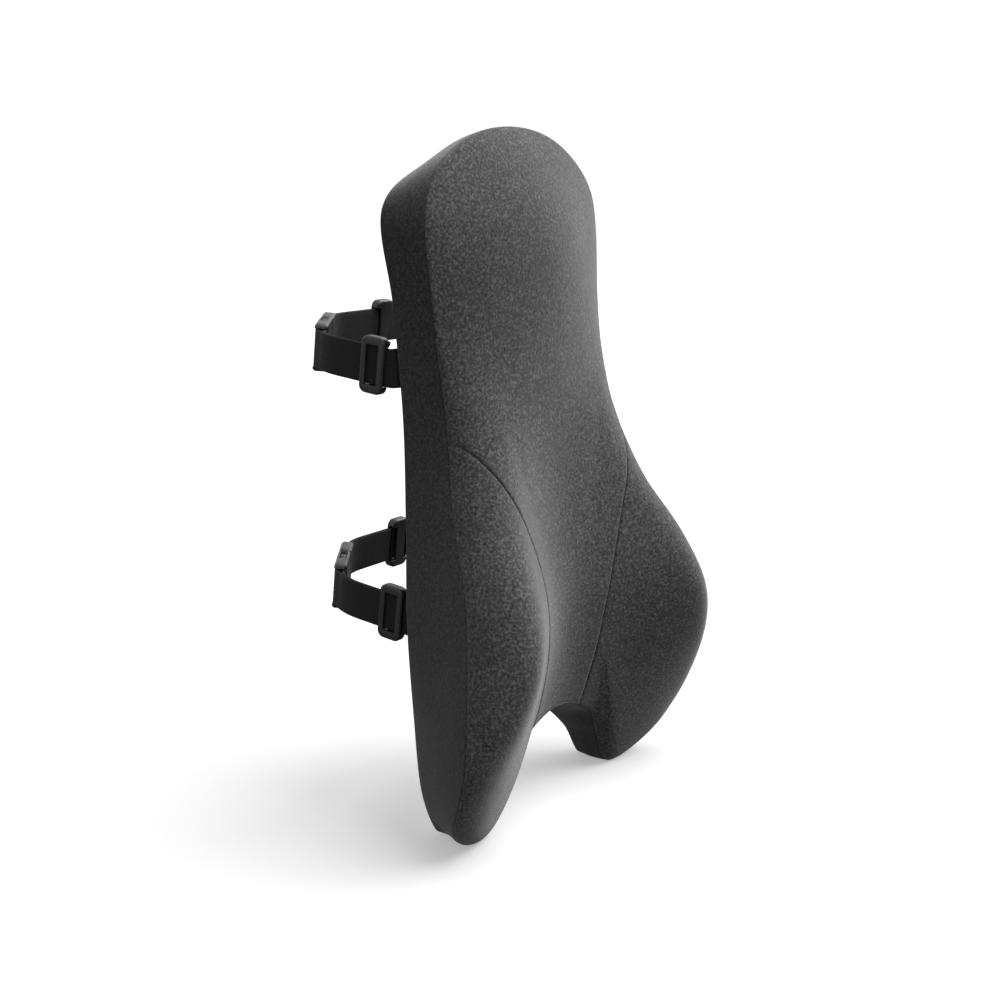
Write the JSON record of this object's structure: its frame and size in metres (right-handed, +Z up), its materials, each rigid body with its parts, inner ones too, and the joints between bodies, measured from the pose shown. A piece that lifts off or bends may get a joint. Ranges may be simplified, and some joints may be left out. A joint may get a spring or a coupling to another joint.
{
  "type": "lumbar support cushion",
  "caption": "Contoured lumbar cushion with a tall domed back panel, two forward hip wings, a tailbone notch, a zipped knit cover and rear buckled strap loops.",
  "frame": {"origin": "on the floor that the two legs stand on, under the middle of the whole, strap loops included; the flat back face is 8.1 mm in front of it", "axes": "+Z up, +Y out of the back face towards the chair, +X to the sitter's left"},
  "size_m": [0.2882, 0.2174, 0.46],
  "materials": {
    "foam": "open-cell moulded foam",
    "knit": "speckled melange knit",
    "gusset_knit": "smooth dark knit",
    "webbing": "ribbed elastic webbing",
    "zip_tape": "woven tape",
    "zip_coil": "satin",
    "zip_metal": "satin black",
    "buckle_plastic": "satin moulded"
  },
  "bodies": {
    "cushion": {"foam_core": "foam", "cover_centre_panel": "knit", "cover_wing_left": "knit", "cover_wing_right": "knit", "cover_side_gusset": "gusset_knit", "cover_back_left": "gusset_knit", "cover_back_right": "gusset_knit", "zip_tape_left": "zip_tape", "zip_tape_right": "zip_tape", "zip_coil_left": "zip_coil", "zip_coil_right": "zip_coil", "zip_stop_top": "zip_metal", "zip_stop_bottom": "zip_metal", "upper_webbing_end_left": "webbing", "upper_webbing_end_right": "webbing", "lower_webbing_end_left": "webbing", "lower_webbing_end_right": "webbing"},
    "zip_slider": {"zip_slider": "zip_metal"},
    "zip_pull": {"zip_pull": "zip_metal"},
    "upper_loop": {"upper_webbing_left": "webbing", "upper_buckle_socket": "buckle_plastic"},
    "upper_plug": {"upper_webbing_right": "webbing", "upper_buckle_plug": "buckle_plastic"},
    "upper_prong_top": {"upper_prong_top": "buckle_plastic"},
    "upper_prong_bottom": {"upper_prong_bottom": "buckle_plastic"},
    "upper_glide_left": {"upper_glide_left": "buckle_plastic"},
    "upper_glide_right": {"upper_glide_right": "buckle_plastic"},
    "lower_loop": {"lower_webbing_left": "webbing", "lower_buckle_socket": "buckle_plastic"},
    "lower_plug": {"lower_webbing_right": "webbing", "lower_buckle_plug": "buckle_plastic"},
    "lower_prong_top": {"lower_prong_top": "buckle_plastic"},
    "lower_prong_bottom": {"lower_prong_bottom": "buckle_plastic"},
    "lower_glide_left": {"lower_glide_left": "buckle_plastic"},
    "lower_glide_right": {"lower_glide_right": "buckle_plastic"}
  },
  "joints": [
    {"name": "zip_slide", "type": "slide", "parent": "cushion", "child": "zip_slider", "axis": [0, 0, -1], "range_m": [0, 0.27]},
    {"name": "zip_pull_lift", "type": "hinge", "parent": "zip_slider", "child": "zip_pull", "pos_m": [0, -0.0057, 0.3855], "axis": [1, 0, 0], "range_deg": [0, 150]},
    {"name": "upper_loop_swing", "type": "hinge", "parent": "cushion", "child": "upper_loop", "pos_m": [0, -0.0011, 0.312], "axis": [1, 0, 0], "range_deg": [-25, 9]},
    {"name": "upper_plug_pull", "type": "slide", "parent": "upper_loop", "child": "upper_plug", "axis": [0.8192, 0.564, 0.1045], "range_m": [0, 0.025]},
    {"name": "upper_prong_top_squeeze", "type": "hinge", "parent": "upper_plug", "child": "upper_prong_top", "pos_m": [-0.05861, 0.08266, 0.33627], "axis": [0.5736, -0.8054, -0.1493], "range_deg": [0, 8]},
    {"name": "upper_prong_bottom_squeeze", "type": "hinge", "parent": "upper_plug", "child": "upper_prong_bottom", "pos_m": [-0.05861, 0.08579, 0.31936], "axis": [-0.5736, 0.8054, 0.1493], "range_deg": [0, 8]},
    {"name": "upper_glide_left_slide", "type": "slide", "parent": "upper_loop", "child": "upper_glide_left", "axis": [0, 0.9833, 0.1822], "range_m": [0, 0.016]},
    {"name": "upper_glide_right_slide", "type": "slide", "parent": "upper_plug", "child": "upper_glide_right", "axis": [1, 0, 0], "range_m": [-0.03, 0.015]},
    {"name": "lower_loop_swing", "type": "hinge", "parent": "cushion", "child": "lower_loop", "pos_m": [0, -0.0011, 0.15], "axis": [1, 0, 0], "range_deg": [-25, 9]},
    {"name": "lower_plug_pull", "type": "slide", "parent": "lower_loop", "child": "lower_plug", "axis": [0.8192, 0.564, 0.1045], "range_m": [0, 0.025]},
    {"name": "lower_prong_top_squeeze", "type": "hinge", "parent": "lower_plug", "child": "lower_prong_top", "pos_m": [-0.05861, 0.08266, 0.17427], "axis": [0.5736, -0.8054, -0.1493], "range_deg": [0, 8]},
    {"name": "lower_prong_bottom_squeeze", "type": "hinge", "parent": "lower_plug", "child": "lower_prong_bottom", "pos_m": [-0.05861, 0.08579, 0.15736], "axis": [-0.5736, 0.8054, 0.1493], "range_deg": [0, 8]},
    {"name": "lower_glide_left_slide", "type": "slide", "parent": "lower_loop", "child": "lower_glide_left", "axis": [0, 0.9833, 0.1822], "range_m": [0, 0.016]},
    {"name": "lower_glide_right_slide", "type": "slide", "parent": "lower_plug", "child": "lower_glide_right", "axis": [1, 0, 0], "range_m": [-0.03, 0.015]}
  ]
}
